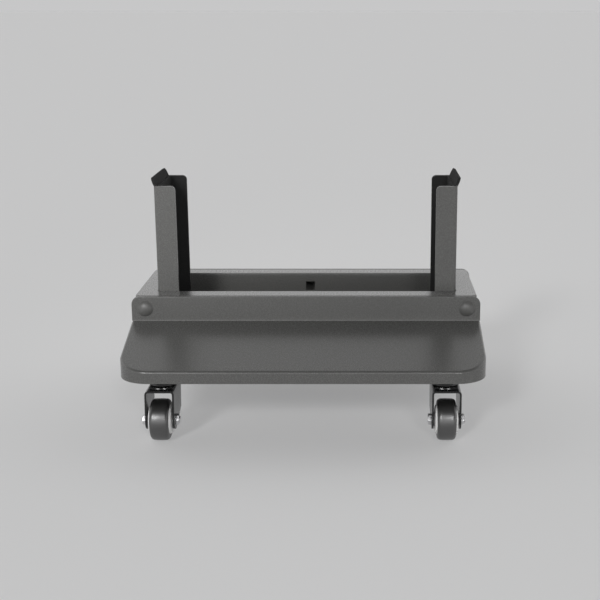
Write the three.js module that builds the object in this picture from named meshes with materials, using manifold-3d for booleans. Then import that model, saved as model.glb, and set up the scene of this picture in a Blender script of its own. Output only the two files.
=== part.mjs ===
// Roller stand for an upright light panel.
// A folded steel base on four swivel casters carries two padded channel uprights,
// and the foot of the panel drops into the trough between them.
// Millimetres, +Z up, the front faces -Y, origin on the floor under the middle of the base.

import * as THREE from 'three';
import { mergeVertices } from 'three/addons/utils/BufferGeometryUtils.js';
import Module from 'manifold-3d';

// Base shell: a shallow folded lid with a sloping apron at the front and the rear
const baseWidth = 348;
const apronRun = 91;
const apronRise = 24.8;
const rimHeight = 11.8;
const baseCornerRadius = 30;
const sheet = 2;

// Deck frame: the raised box along the middle, with the slot for the panel in its top
const deckEndInset = 3;
const deckDepth = 129;
const deckHeight = 25;
const deckCornerRadius = 7;
const slotInset = 23;

// Bars across the front and the rear of the deck, each held by two dome-head bolts
const barThickness = 3;
const barCornerRadius = 8.4;
const barBoltInset = 13.5;
const barBoltRadius = 3;
const barBoltLength = 14;
const domeRadius = 7.5;
const domeHeight = 3.8;

// Trough under the slot, and the window in its rear wall
const windowWidth = 9.5;
const windowHeight = 9.5;
const windowDrop = 9.4;
const matThickness = 3;

// Uprights: channels with their flanges turned inwards, and a flared lip on top
const uprightInset = 19.9;
const uprightAboveDeck = 106.8;
const flangeWidth = 21.3;
const flangeCornerRadius = 4.5;
const bendRadius = 3;
const lipHeight = 8.6;
const lipFlare = 3.2;
const lipCornerRadius = 4;
const linerThickness = 3;

// Casters: where they stand, and the heights of the swivel head above the wheel
const casterEndInset = 37.5;
const casterRimInset = 42.5;
const trail = 20;
const wheelDiameter = 40;
const treadWidth = 18;
const treadShoulder = 3.2;
const tyreThickness = 5.5;
const hubShoulderInset = 2.2;
const hubShoulderRise = 1.4;
const hubBossRadius = 6.5;
const hubBossRise = 2.1;
const axleRadius = 3;
const axleHeadRadius = 5.5;
const axleHeadHeight = 3.4;
const axleThreadOver = 1;
const forkWidth = 28;
const forkWall = 1.8;
const forkClearance = 8.2;
const forkFront = 27;
const forkBack = 17;
const forkCornerRadius = 5;
const forkTipRadius = 9.3;
const forkTipArcShare = 0.3;
const forkHeelHeight = 22;
const forkHeelInset = 3;
const raceFootRadius = 14;
const raceTopRadius = 13;
const raceHeight = 3.4;
const ballGap = 1.4;
const headRadius = 14.6;
const headHeight = 5.3;
const plateLength = 42;
const plateDepth = 38;
const plateThickness = 2.4;
const plateCornerRadius = 4;
const screwSpacingX = 32;
const screwSpacingY = 28;
const screwRadius = 2;
const screwLength = 7;
const screwHeadRadius = 3.8;
const screwHeadHeight = 2.2;
const kingpinRadius = 4;
const kingpinHeadRadius = 7;
const kingpinHeadHeight = 2;
const panThickness = 2;

// Clearances: between parts that fit or turn in each other, and what a cut runs past a face
const fitGap = 0.3;
const overrun = 5;

// Facets in a full turn of each kind of round piece
const tyreFacets = 32;
const hubFacets = 24;
const headFacets = 16;
const screwFacets = 8;
const hexSides = 6;
const cornerFacets = 4;
const shoulderFacets = 2;

// Heights and half sizes that follow from the above
const axleHeight = wheelDiameter / 2;
const coreRadius = wheelDiameter / 2 - tyreThickness;
const crownBottom = wheelDiameter + forkClearance;
const crownTop = crownBottom + forkWall;
const raceTop = crownTop + raceHeight;
const headBottom = raceTop + ballGap;
const plateBottom = headBottom + headHeight;
const panBottom = plateBottom + plateThickness;
const panTop = panBottom + panThickness;
const rimTop = panBottom + rimHeight;
const deckBottom = rimTop + apronRise;
const deckTop = deckBottom + deckHeight;
const deckWidth = baseWidth - 2 * deckEndInset;
const baseDepth = deckDepth + 2 * apronRun;
const slope = Math.atan2(apronRise, apronRun);
const barMiddle = deckBottom + deckHeight / 2;
const barBoltPlaces = [barBoltInset - baseWidth / 2, baseWidth / 2 - barBoltInset];
const uprightSpan = deckWidth - 2 * uprightInset;
const slotWidth = uprightSpan + 2 * fitGap;
const slotDepth = deckDepth - 2 * slotInset;
const troughFloor = panTop + sheet;
const uprightDepth = slotDepth - 2 * fitGap;
const uprightTop = deckTop + uprightAboveDeck;
const casterX = baseWidth / 2 - casterEndInset;
const casterY = baseDepth / 2 - casterRimInset;

// Finishes
const coatedSteel = new THREE.MeshStandardMaterial({ color: 0x565655, roughness: 0.55, metalness: 0.1 });
const blackFoam = new THREE.MeshStandardMaterial({ color: 0x121212, roughness: 0.95, metalness: 0 });
const blackMat = new THREE.MeshStandardMaterial({ color: 0x1b1b1b, roughness: 0.9, metalness: 0 });
const casterSteel = new THREE.MeshStandardMaterial({ color: 0x242425, roughness: 0.35, metalness: 0.6 });
const brightZinc = new THREE.MeshStandardMaterial({ color: 0xc9cacb, roughness: 0.3, metalness: 1 });
const tyreRubber = new THREE.MeshStandardMaterial({ color: 0x2c2c2b, roughness: 0.4, metalness: 0 });
const whiteHub = new THREE.MeshStandardMaterial({ color: 0xe2e2df, roughness: 0.4, metalness: 0 });

const wasm = await Module();
wasm.setup();

// A solid that can be joined and cut, from a closed geometry
function toSolid(geometry) {
  geometry.deleteAttribute('normal');
  geometry.deleteAttribute('uv');
  const merged = mergeVertices(geometry);
  const corners = merged.index.array;
  const triangles = [];
  for (let i = 0; i < corners.length; i += 3) {
    const [a, b, c] = [corners[i], corners[i + 1], corners[i + 2]];
    if (a !== b && b !== c && c !== a) triangles.push(a, b, c);
  }
  return new wasm.Manifold(new wasm.Mesh({
    numProp: 3,
    vertProperties: new Float32Array(merged.attributes.position.array),
    triVerts: new Uint32Array(triangles),
  }));
}

function toGeometry(solid) {
  const mesh = solid.getMesh();
  const geometry = new THREE.BufferGeometry();
  geometry.setAttribute('position', new THREE.BufferAttribute(mesh.vertProperties, 3));
  geometry.setIndex(new THREE.BufferAttribute(mesh.triVerts, 1));
  geometry.computeVertexNormals();
  return geometry;
}

// An outline pushed along an axis: drawn in XY for Z, in YZ for X and in XZ for Y
const frames = {
  x: [new THREE.Vector3(0, 1, 0), new THREE.Vector3(0, 0, 1), new THREE.Vector3(1, 0, 0)],
  y: [new THREE.Vector3(1, 0, 0), new THREE.Vector3(0, 0, 1), new THREE.Vector3(0, -1, 0)],
  z: [new THREE.Vector3(1, 0, 0), new THREE.Vector3(0, 1, 0), new THREE.Vector3(0, 0, 1)],
};

function prism(shape, axis, from, to) {
  const settings = { depth: to - from, bevelEnabled: false, curveSegments: cornerFacets };
  const geometry = new THREE.ExtrudeGeometry(shape, settings);
  geometry.applyMatrix4(new THREE.Matrix4().makeBasis(...frames[axis]));
  const start = axis === 'y' ? -to : from;
  const move = frames[axis][2].clone().multiplyScalar(start);
  geometry.translate(move.x, move.y, move.z);
  return toSolid(geometry);
}

function outline(points) {
  return new THREE.Shape(points.map(([u, v]) => new THREE.Vector2(u, v)));
}

// A rectangle about a middle, with its four corners rounded by the radii given, or square for 0:
// low left, low right, high right, high left
function rounded(midU, midV, width, height, radii) {
  const [lowLeft, lowRight, highRight, highLeft] = radii;
  const [u0, u1] = [midU - width / 2, midU + width / 2];
  const [v0, v1] = [midV - height / 2, midV + height / 2];
  const shape = new THREE.Shape();
  const corner = (u, v, radius, start) => {
    if (radius > 0) shape.absarc(u, v, radius, start, start + Math.PI / 2, false);
    else shape.lineTo(u, v);
  };
  shape.moveTo(u0 + lowLeft, v0);
  corner(u1 - lowRight, v0 + lowRight, lowRight, -Math.PI / 2);
  corner(u1 - highRight, v1 - highRight, highRight, 0);
  corner(u0 + highLeft, v1 - highLeft, highLeft, Math.PI / 2);
  corner(u0 + lowLeft, v0 + lowLeft, lowLeft, Math.PI);
  return shape;
}

function block(x0, x1, y0, y1, z0, z1) {
  return prism(outline([[x0, y0], [x1, y0], [x1, y1], [x0, y1]]), 'z', z0, z1);
}

// A profile of [radius, place along the axis] pairs, turned about an axis through the origin
function turned(profile, facets, axis) {
  const points = profile.map(([radius, along]) => new THREE.Vector2(radius, along));
  const geometry = new THREE.LatheGeometry(points, facets);
  if (axis === 'z') geometry.rotateX(Math.PI / 2);
  if (axis === 'x') geometry.rotateZ(-Math.PI / 2);
  return toSolid(geometry);
}

function rod(radius, facets, axis, from, to) {
  return turned([[0, from], [radius, from], [radius, to], [0, to]], facets, axis);
}

// The cross-section of the base shell, drawn inwards of its skin by an inset
function roof(inset, bottom) {
  const half = baseDepth / 2;
  const drop = inset / Math.cos(slope);
  const flat = deckBottom - inset;
  const breakY = half - (flat + drop - rimTop) / Math.tan(slope);
  const edgeZ = rimTop + inset * Math.tan(slope) - drop;
  const side = half - inset;
  return outline([
    [-side, bottom], [side, bottom], [side, edgeZ], [breakY, flat], [-breakY, flat], [-side, edgeZ],
  ]);
}

function baseOutline(inset) {
  const radius = baseCornerRadius - inset;
  return rounded(0, 0, baseWidth - 2 * inset, baseDepth - 2 * inset, [radius, radius, radius, radius]);
}

function baseShell() {
  const half = baseWidth / 2;
  const skin = prism(roof(0, panBottom), 'x', -half, half)
    .intersect(prism(baseOutline(0), 'z', panBottom, deckTop));
  const hollow = prism(roof(sheet, panBottom - overrun), 'x', -half, half)
    .intersect(prism(baseOutline(sheet), 'z', panBottom - overrun, deckTop));
  const troughWay = troughBlock(sheet + fitGap, panTop, deckTop);
  return skin.subtract(hollow).subtract(troughWay);
}

// The space of the trough, grown outwards by an offset
function troughBlock(offset, bottom, top) {
  const [x, y] = [slotWidth / 2 + offset, slotDepth / 2 + offset];
  return block(-x, x, -y, y, bottom, top);
}

function floorPan() {
  let pan = prism(baseOutline(sheet + fitGap), 'z', panBottom, panTop);
  for (const { x, y } of casterPlaces) {
    pan = pan.subtract(rod(kingpinHeadRadius + fitGap, headFacets, 'z', panBottom - overrun, panTop + overrun)
      .translate([x, y, 0]));
    for (const [u, v] of screwPlaces) {
      pan = pan.subtract(rod(screwRadius + fitGap, screwFacets, 'z', panBottom - overrun, panTop + overrun)
        .translate([x + u, y + v, 0]));
    }
  }
  return pan;
}

function deckFrame() {
  const depth = deckDepth - 2 * barThickness;
  const outer = rounded(0, 0, deckWidth, depth, Array(4).fill(deckCornerRadius));
  const inside = Array(4).fill(deckCornerRadius - sheet);
  const inner = rounded(0, 0, deckWidth - 2 * sheet, depth - 2 * sheet, inside);
  let frame = prism(outer, 'z', deckBottom, deckTop)
    .subtract(prism(inner, 'z', deckBottom - overrun, deckTop - sheet))
    .subtract(troughBlock(0, deckBottom, deckTop + overrun));
  for (const x of barBoltPlaces) {
    frame = frame.subtract(rod(barBoltRadius + fitGap, screwFacets, 'y', -baseDepth, baseDepth)
      .translate([x, 0, barMiddle]));
  }
  return frame;
}

// A box of sheet with its top open, standing on the floor pan and reaching up to the deck
function trough() {
  const windowTop = deckTop - windowDrop;
  const window = block(
    -windowWidth / 2, windowWidth / 2,
    slotDepth / 2 - overrun, slotDepth / 2 + overrun,
    windowTop - windowHeight, windowTop,
  );
  return troughBlock(sheet, panTop, deckTop - sheet)
    .subtract(troughBlock(0, troughFloor, deckTop))
    .subtract(window);
}

function troughMat() {
  const lined = sheet + linerThickness + 2 * fitGap;
  const [x, y] = [uprightSpan / 2 - lined, uprightDepth / 2 - lined];
  return block(-x, x, -y, y, troughFloor, troughFloor + matThickness);
}

function bar(from, to) {
  const face = rounded(0, barMiddle, baseWidth, deckHeight, [0, 0, barCornerRadius, barCornerRadius]);
  let plate = prism(face, 'y', from, to);
  for (const x of barBoltPlaces) {
    plate = plate.subtract(rod(barBoltRadius + fitGap, screwFacets, 'y', -baseDepth, baseDepth)
      .translate([x, 0, barMiddle]));
  }
  return plate;
}

// A dome-head bolt with its head towards -Y, seated at Y = 0
function barBolt() {
  const sphere = (domeRadius ** 2 + domeHeight ** 2) / (2 * domeHeight);
  const sweep = Math.asin(domeRadius / sphere);
  const dome = [];
  for (let i = 0; i <= cornerFacets; i += 1) {
    const angle = sweep * i / cornerFacets;
    dome.push([sphere * Math.sin(angle), sphere - domeHeight - sphere * Math.cos(angle)]);
  }
  dome[0][0] = 0;
  const shank = [[barBoltRadius, 0], [barBoltRadius, barBoltLength], [0, barBoltLength]];
  return turned([...dome, ...shank], headFacets, 'y');
}

// The right-hand upright: web outwards, flanges turned in, lip flared out on top of the web
function upright() {
  const half = uprightDepth / 2;
  const midX = uprightSpan / 2 - flangeWidth / 2;
  const height = uprightTop - troughFloor;
  const inner = bendRadius - sheet;
  const section = prism(
    rounded(midX, 0, flangeWidth, uprightDepth, [0, bendRadius, bendRadius, 0]),
    'z', troughFloor, uprightTop,
  );
  const cavity = prism(
    rounded(midX - sheet, 0, flangeWidth, uprightDepth - 2 * sheet, [0, inner, inner, 0]),
    'z', troughFloor - overrun, uprightTop + overrun,
  );
  const side = prism(
    rounded(midX, troughFloor + height / 2, flangeWidth, height, [0, 0, 0, flangeCornerRadius]),
    'y', -half, half,
  );
  return section.subtract(cavity).intersect(side).add(lip());
}

// It carries the web on above the flanges and leans outwards, with its top corners rounded
function lip() {
  const outer = uprightSpan / 2;
  const half = uprightDepth / 2;
  const root = uprightTop - bendRadius;
  const top = uprightTop + lipHeight;
  const slab = prism(outline([
    [outer - sheet, root], [outer, root], [outer, uprightTop],
    [outer + lipFlare, top], [outer + lipFlare - sheet, top], [outer - sheet, uprightTop],
  ]), 'y', -half, half);
  const corners = [0, 0, lipCornerRadius, lipCornerRadius];
  const face = prism(
    rounded(0, (root + top) / 2, uprightDepth - 2 * bendRadius, top - root, corners),
    'x', outer - flangeWidth, outer + lipFlare + overrun,
  );
  return slab.intersect(face);
}

// Foam lining on the inner faces of the right-hand upright
function liner() {
  const depth = uprightDepth - 2 * (sheet + fitGap);
  const reach = flangeWidth - sheet - fitGap;
  const midX = uprightSpan / 2 - flangeWidth + reach / 2;
  const height = uprightTop - troughFloor;
  const side = prism(
    rounded(midX, troughFloor + height / 2, reach, height, [0, 0, 0, flangeCornerRadius]),
    'y', -depth / 2, depth / 2,
  );
  const hollow = block(
    midX - reach, midX + reach / 2 - linerThickness,
    linerThickness - depth / 2, depth / 2 - linerThickness,
    troughFloor - overrun, uprightTop + overrun,
  );
  return side.subtract(hollow);
}

// Where the casters stand, and the screws round each swivel axis
const casterPlaces = [
  { name: 'front_left', x: -casterX, y: -casterY },
  { name: 'front_right', x: casterX, y: -casterY },
  { name: 'rear_left', x: -casterX, y: casterY },
  { name: 'rear_right', x: casterX, y: casterY },
];
const screwPlaces = [
  [-screwSpacingX / 2, -screwSpacingY / 2],
  [screwSpacingX / 2, -screwSpacingY / 2],
  [screwSpacingX / 2, screwSpacingY / 2],
  [-screwSpacingX / 2, screwSpacingY / 2],
];

// Mounting plate with the upper race of the swivel pressed into it
function casterPlate() {
  const face = rounded(0, 0, plateLength, plateDepth, Array(4).fill(plateCornerRadius));
  let plate = prism(face, 'z', plateBottom, panBottom)
    .add(turned([
      [0, headBottom], [headRadius, headBottom], [headRadius, plateBottom + plateThickness / 2],
      [0, plateBottom + plateThickness / 2],
    ], headFacets, 'z'));
  const [low, high] = [headBottom - overrun, panBottom + overrun];
  plate = plate.subtract(rod(kingpinRadius + fitGap, headFacets, 'z', low, high));
  for (const [u, v] of screwPlaces) {
    plate = plate.subtract(rod(screwRadius + fitGap, screwFacets, 'z', low, high).translate([u, v, 0]));
  }
  return plate;
}

// The rivet that the caster swivels on
function kingpin() {
  const low = crownBottom - kingpinHeadHeight - fitGap;
  return turned([
    [0, low], [kingpinHeadRadius, low], [kingpinHeadRadius, crownBottom - fitGap],
    [kingpinRadius, crownBottom - fitGap], [kingpinRadius, panBottom],
    [kingpinHeadRadius, panBottom], [kingpinHeadRadius, panBottom + kingpinHeadHeight],
    [0, panBottom + kingpinHeadHeight],
  ], headFacets, 'z');
}

// A pan-head screw driven upwards, its head seated on the caster plate
function plateScrew() {
  const low = plateBottom - screwHeadHeight;
  return turned([
    [0, low], [screwHeadRadius * Math.SQRT1_2, low], [screwHeadRadius, plateBottom - screwHeadHeight / 2],
    [screwHeadRadius, plateBottom], [screwRadius, plateBottom], [screwRadius, plateBottom + screwLength],
    [0, plateBottom + screwLength],
  ], screwFacets, 'z');
}

// Swivel fork: a crown with the lower race pressed up from it, and two legs that reach down to the axle
function fork() {
  const half = forkWidth / 2;
  const tipEnd = Math.PI + 2 * Math.PI * forkTipArcShare;
  const side = new THREE.Shape();
  side.moveTo(-forkFront, crownTop);
  side.lineTo(-trail - forkTipRadius, axleHeight);
  side.absarc(-trail, axleHeight, forkTipRadius, Math.PI, tipEnd, false);
  side.lineTo(forkBack - forkHeelInset, forkHeelHeight);
  side.lineTo(forkBack, crownTop);
  const plan = rounded(
    0, (forkBack - forkFront) / 2, forkWidth, forkBack + forkFront + 2 * forkTipRadius,
    Array(4).fill(forkCornerRadius),
  );
  const channel = half - forkWall;
  const race = turned([
    [0, crownBottom + forkWall / 2], [raceFootRadius, crownBottom + forkWall / 2],
    [raceFootRadius, crownTop], [raceTopRadius, raceTop], [0, raceTop],
  ], headFacets, 'z');
  return prism(side, 'x', -half, half)
    .intersect(prism(plan, 'z', 0, crownTop))
    .subtract(block(-channel, channel, -baseDepth, baseDepth, -overrun, crownBottom))
    .add(race)
    .subtract(rod(kingpinRadius + fitGap, headFacets, 'z', 0, raceTop + overrun))
    .subtract(rod(axleRadius + fitGap, headFacets, 'x', -forkWidth, forkWidth)
      .translate([0, -trail, axleHeight]));
}

// The axle: a bolt with its hexagon head at -X, and the nut at +X
function axleBolt() {
  const half = forkWidth / 2;
  const head = rod(axleHeadRadius, hexSides, 'x', -half - axleHeadHeight, -half);
  return head.add(rod(axleRadius, headFacets, 'x', -half - axleHeadHeight / 2,
    half + axleHeadHeight + axleThreadOver));
}

function axleNut() {
  const half = forkWidth / 2;
  return rod(axleHeadRadius, hexSides, 'x', half, half + axleHeadHeight)
    .subtract(rod(axleRadius + fitGap, headFacets, 'x', 0, forkWidth));
}

// Tyre: a band with rounded shoulders, turned about X
function tyre() {
  const [radius, half, bore] = [wheelDiameter / 2, treadWidth / 2, coreRadius];
  const profile = [[bore, -half]];
  for (const end of [-1, 1]) {
    for (let i = 0; i <= shoulderFacets; i += 1) {
      const angle = (Math.PI / 2) * (end < 0 ? i : shoulderFacets - i) / shoulderFacets;
      profile.push([
        radius - treadShoulder * (1 - Math.sin(angle)),
        end * (half - treadShoulder * (1 - Math.cos(angle))),
      ]);
    }
  }
  profile.push([bore, half], [bore, -half]);
  return turned(profile, tyreFacets, 'x');
}

// Hub: a core under the tyre, bulging on both sides towards a boss that runs on the axle
function hub() {
  const outer = coreRadius - fitGap;
  const half = treadWidth / 2;
  const boss = forkWidth / 2 - forkWall - fitGap;
  const bore = axleRadius + fitGap;
  const faces = [
    [outer, half], [outer - hubShoulderInset, half + hubShoulderRise],
    [hubBossRadius, half + hubBossRise], [hubBossRadius, boss], [bore, boss],
  ];
  const left = faces.map(([radius, along]) => [radius, -along]).reverse();
  return turned([...left, ...faces, left[0]], hubFacets, 'x');
}

const stand = new THREE.Group();

function place(parent, name, solid, material, x = 0, y = 0, z = 0) {
  const mesh = new THREE.Mesh(toGeometry(solid), material);
  mesh.name = name;
  mesh.position.set(x, y, z);
  parent.add(mesh);
}

function mirrored(solid) {
  return solid.mirror([1, 0, 0]);
}

place(stand, 'base_shell', baseShell(), coatedSteel);
place(stand, 'floor_pan', floorPan(), coatedSteel);
place(stand, 'deck_frame', deckFrame(), coatedSteel);
place(stand, 'panel_trough', trough(), coatedSteel);
place(stand, 'trough_mat', troughMat(), blackMat);
place(stand, 'front_bar', bar(-deckDepth / 2, -deckDepth / 2 + barThickness), coatedSteel);
place(stand, 'rear_bar', bar(deckDepth / 2 - barThickness, deckDepth / 2), coatedSteel);
place(stand, 'upright_right', upright(), coatedSteel);
place(stand, 'upright_left', mirrored(upright()), coatedSteel);
place(stand, 'liner_right', liner(), blackFoam);
place(stand, 'liner_left', mirrored(liner()), blackFoam);

for (const [side, x] of [['left', barBoltPlaces[0]], ['right', barBoltPlaces[1]]]) {
  place(stand, `bar_bolt_front_${side}`, barBolt(), coatedSteel, x, -deckDepth / 2, barMiddle);
  place(stand, `bar_bolt_rear_${side}`, barBolt().rotate([0, 0, 180]), coatedSteel,
    x, deckDepth / 2, barMiddle);
}

for (const { name, x, y } of casterPlaces) {
  const caster = new THREE.Group();
  caster.position.set(x, y, 0);
  stand.add(caster);
  place(caster, `caster_plate_${name}`, casterPlate(), casterSteel);
  place(caster, `kingpin_${name}`, kingpin(), casterSteel);
  screwPlaces.forEach(([u, v], i) => {
    place(caster, `plate_screw_${name}_${i + 1}`, plateScrew(), brightZinc, u, v);
  });
  place(caster, `fork_${name}`, fork(), casterSteel);
  place(caster, `axle_bolt_${name}`, axleBolt(), brightZinc, 0, -trail, axleHeight);
  place(caster, `axle_nut_${name}`, axleNut(), brightZinc, 0, -trail, axleHeight);
  place(caster, `tyre_${name}`, tyre(), tyreRubber, 0, -trail, axleHeight);
  place(caster, `hub_${name}`, hub(), whiteHub, 0, -trail, axleHeight);
}

export default stand;
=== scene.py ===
"""Looks of a roller stand for an upright light panel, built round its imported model.

Metres, +Z up, the front faces -Y, origin on the floor under the middle of the base.
"""

import math

import bmesh
import bpy
from bpy.props import FloatProperty, FloatVectorProperty, IntProperty, PointerProperty
from bpy.types import Operator, Panel, PropertyGroup
from mathutils import Matrix, Vector


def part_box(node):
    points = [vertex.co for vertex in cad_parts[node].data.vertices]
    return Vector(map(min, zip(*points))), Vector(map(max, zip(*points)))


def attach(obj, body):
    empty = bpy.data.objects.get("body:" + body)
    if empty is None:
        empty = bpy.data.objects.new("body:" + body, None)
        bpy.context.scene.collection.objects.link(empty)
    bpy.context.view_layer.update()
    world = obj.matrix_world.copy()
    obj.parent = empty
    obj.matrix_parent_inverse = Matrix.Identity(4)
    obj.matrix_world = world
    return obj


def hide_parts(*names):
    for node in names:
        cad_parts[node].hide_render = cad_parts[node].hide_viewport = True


bl_info = {
    "name": "Roller Stand",
    "version": (1, 0, 0),
    "blender": (4, 5, 0),
    "location": "View3D > Sidebar > Stand",
    "description": "Builds a roller stand for an upright light panel",
    "category": "Add Mesh",
}

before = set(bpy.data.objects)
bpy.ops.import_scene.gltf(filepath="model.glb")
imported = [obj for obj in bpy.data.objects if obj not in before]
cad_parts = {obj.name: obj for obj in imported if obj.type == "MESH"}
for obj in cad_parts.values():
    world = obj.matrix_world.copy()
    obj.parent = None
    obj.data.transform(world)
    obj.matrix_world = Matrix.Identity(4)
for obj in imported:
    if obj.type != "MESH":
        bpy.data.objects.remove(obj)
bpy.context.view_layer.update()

CORNERS = ("front_left", "front_right", "rear_left", "rear_right")
SIDES = {"left": -1, "right": 1}
ENDS = {"front": -1, "rear": 1}
SCREWS = (1, 2, 3, 4)
MM = 0.001
# Two places this close count as one, and parts that fit in each other have this clearance
NEAR = 0.01 * MM
FIT = 0.3 * MM
# Radii of small edges
DOME_EDGE = 0.3 * MM
SHANK_TIP = 0.4 * MM
LIP_BEND = 1.2 * MM
LINER_BEND = 1.0 * MM
LINER_EDGE = 0.5 * MM
PLATE_EDGE = 0.4 * MM
RACE_EDGE = 1.1 * MM
CUP_EDGE = 0.8 * MM
PIN_EDGE = 0.6 * MM
SCREW_EDGE = 0.9 * MM
FORK_EDGE = 0.3 * MM
BEAD_EDGE = 0.25 * MM
HEXAGON_TIP = 1.1 * MM
HEXAGON_EDGE = 0.25 * MM
HUB_EDGE = 0.5 * MM
# How far past the slot its own edges reach, and how far the bead stands down into the crown
SLOT_MARGIN = 0.5 * MM
BEAD_SINK = 0.2 * MM
# The plate screws' sockets as a share of their heads, and the axle bolts' thread
SOCKET_SHARE = 0.42
THREADS = 4
PITCH = 0.5 * MM
THREAD_DEPTH = 0.3 * MM
SMOOTH_ANGLE = math.radians(38)
TIP_STEPS = 10
TREAD_SHARES = (-1.0, -0.6, -0.3, 0.0, 0.3, 0.6, 1.0)
# Brightness of the studio's walls, by the sine of the height above the horizon
FRONT_WALL = ((0.03, 1.90), (0.10, 1.50), (0.20, 0.50), (0.42, 0.12), (0.65, 0.05))
REAR_WALL = ((0.12, 1.05), (0.42, 1.05), (0.74, 0.85), (0.88, 0.10))


# Properties

def length(size, description):
    """A size that a user can change, first given in millimetres."""
    return FloatProperty(default=size * MM, min=0.0, unit="LENGTH", precision=4, description=description)


def colour(default, description):
    """A finish colour, linear."""
    return FloatVectorProperty(default=default, size=3, min=0.0, max=1.0, subtype="COLOR",
                               description=description)


def fraction(default, description):
    """A number from 0 to 1."""
    return FloatProperty(default=default, min=0.0, max=1.0, subtype="FACTOR", description=description)


class StandBaseSizes(PropertyGroup):
    """Sizes of the folded base, the deck and the bars."""

    sheet: length(2.0, "Thickness of the folded sheet")
    rim_height: length(11.8, "Height of the rim round the base")
    plan_radius: length(30.0, "Radius of the base's corners from above")
    fold_radius: length(2.2, "Outer radius of the folds in the base")
    ledge: length(1.4, "How far the base's flat top reaches past the bars")
    deck_radius: length(7.0, "Radius of the deck's upright corners")
    deck_fold_radius: length(1.6, "Outer radius round the top of the deck")
    slot_width: length(302.8, "Length of the slot along X")
    slot_depth: length(83.0, "Depth of the slot along Y")
    slot_lean: length(0.35, "How far the slot's rear edge leans back")
    bar_radius: length(8.4, "Radius of the bars' top corners")
    edge_radius: length(0.45, "Rounding of cut edges under the coat")
    bar_foot: length(1.4, "Height of the bars' flared lower edge")
    bar_flare: length(0.35, "How far the bars' lower edge stands out")
    bolt_hole: length(3.3, "Radius of the holes for the bolts")
    dome_radius: length(8.1, "Radius of a bolt's dome head")
    dome_height: length(3.8, "Height of a dome head")


class StandUprightSizes(PropertyGroup):
    """Sizes of the channel uprights and their foam lining."""

    sheet: length(2.0, "Thickness of the walls")
    bend_radius: length(3.0, "Outer radius of the channel's bends")
    flange_radius: length(4.5, "Radius of the flanges' top corners")
    lip_height: length(8.6, "Height of the lip over the flanges")
    lip_flare: length(3.2, "How far the lip leans outwards")
    lip_radius: length(5.5, "Radius of the lip's top corners")
    sleeve: length(0.6, "Thickness of the sleeve inside the lip")
    sleeve_back: length(0.35, "Thickness of the sleeve behind the lip")
    sleeve_edge: length(0.5, "How far the sleeve stands past the lip")
    sleeve_foot: length(1.3, "How far the sleeve reaches below the lip")
    liner: length(3.0, "Thickness of the foam lining")


class StandCasterSizes(PropertyGroup):
    """Sizes of the swivel casters."""

    fork_wall: length(1.8, "Thickness of the fork")
    fork_front: length(27.0, "Reach of the crown before the swivel axis")
    fork_back: length(17.0, "Reach of the crown behind the swivel axis")
    fork_fold: length(3.4, "Outer radius of the fork's folds")
    fork_tip: length(9.3, "Radius of the legs' tips")
    heel_height: length(22.0, "Height of the legs' rear corner")
    heel_inset: length(3.0, "How far the legs' rear corner stands in")
    crown_height: length(50.0, "Height of the crown's top face")
    race_foot: length(14.0, "Radius of the lower race at its foot")
    race_top: length(13.0, "Radius of the lower race at its top")
    race_height: length(3.4, "Height of the lower race")
    bead_radius: length(21.0, "Radius of the crown's bead round the pin")
    bead_height: length(1.3, "Height of the crown's bead")
    bead_lean: length(0.55, "How far the bead's front leans back")
    bead_width: length(1.8, "Width of the bead's top")
    ball_radius: length(1.2, "Radius of the balls in the race")
    ball_count: IntProperty(default=22, min=6, max=40, description="Balls in each race")
    head_radius: length(14.6, "Radius of the upper race")
    pin_radius: length(4.0, "Radius of the kingpin's shank")
    pin_head: length(2.0, "Height of the kingpin's heads")
    plate_depth: length(2.4, "Thickness of the plate")
    plate_radius: length(4.0, "Radius of the plate's corners")
    screw_radius: length(2.0, "Radius of a plate screw's shank")
    screw_head: length(2.2, "Height of a plate screw's head")
    axle_radius: length(3.0, "Radius of the axle")
    axle_head: length(3.4, "Height of the axle's head")
    tyre_depth: length(5.5, "Thickness of the tyre")
    shoulder: length(3.2, "Radius of the tyre's shoulders")
    crown: length(0.5, "Rise of the tread in its middle")
    hub_shoulder: length(1.2, "How far the hub's shoulder stands in")
    hub_rise: length(1.6, "How far the hub's shoulder stands out")
    boss_radius: length(6.5, "Radius of the hub's boss")
    boss_rise: length(2.3, "How far the hub stands out at its boss")


class StandFinishes(PropertyGroup):
    """Colours and roughness of the finishes."""

    coat: colour((0.095, 0.095, 0.0915), "Dark grey powder coat")
    coat_roughness: fraction(0.26, "Roughness of the powder coat")
    bolt_roughness: fraction(0.42, "Roughness of the coat on the bolts")
    foam: colour((0.026, 0.026, 0.026), "Black foam lining")
    mat: colour((0.010, 0.010, 0.010), "Black rubber mat")
    black_steel: colour((0.009, 0.009, 0.0095), "Glossy black coat")
    zinc: colour((0.70, 0.70, 0.71), "Bright zinc plate")
    tyre: colour((0.013, 0.013, 0.0125), "Dark grey rubber")
    hub: colour((0.92, 0.92, 0.91), "White plastic")


class StandStudio(PropertyGroup):
    """Camera, lamps and background."""

    camera_place: FloatVectorProperty(default=(0.0559, -1.1876, 0.4016), size=3, subtype="TRANSLATION",
                                      unit="LENGTH", description="Where the camera stands")
    camera_pitch: FloatProperty(default=math.radians(14.05), subtype="ANGLE",
                                description="How far the camera looks down")
    camera_lens: FloatProperty(default=69.78, min=1.0, subtype="DISTANCE_CAMERA",
                               description="Focal length of the camera, in millimetres")
    camera_shift: FloatProperty(default=-0.1033, description="Sideways shift of the frame")
    background: colour((0.571, 0.571, 0.575), "Pale studio floor and background")
    ceiling: colour((0.08, 0.08, 0.08), "Dark room over the stand")
    floor: colour((0.85, 0.85, 0.85), "White floor that lights the stand from below")
    floor_seen: colour((0.54, 0.54, 0.54), "Floor as the camera sees it, without its glow")
    floor_glow: fraction(0.44, "Share of the background that shade leaves")


# Shaping

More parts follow.
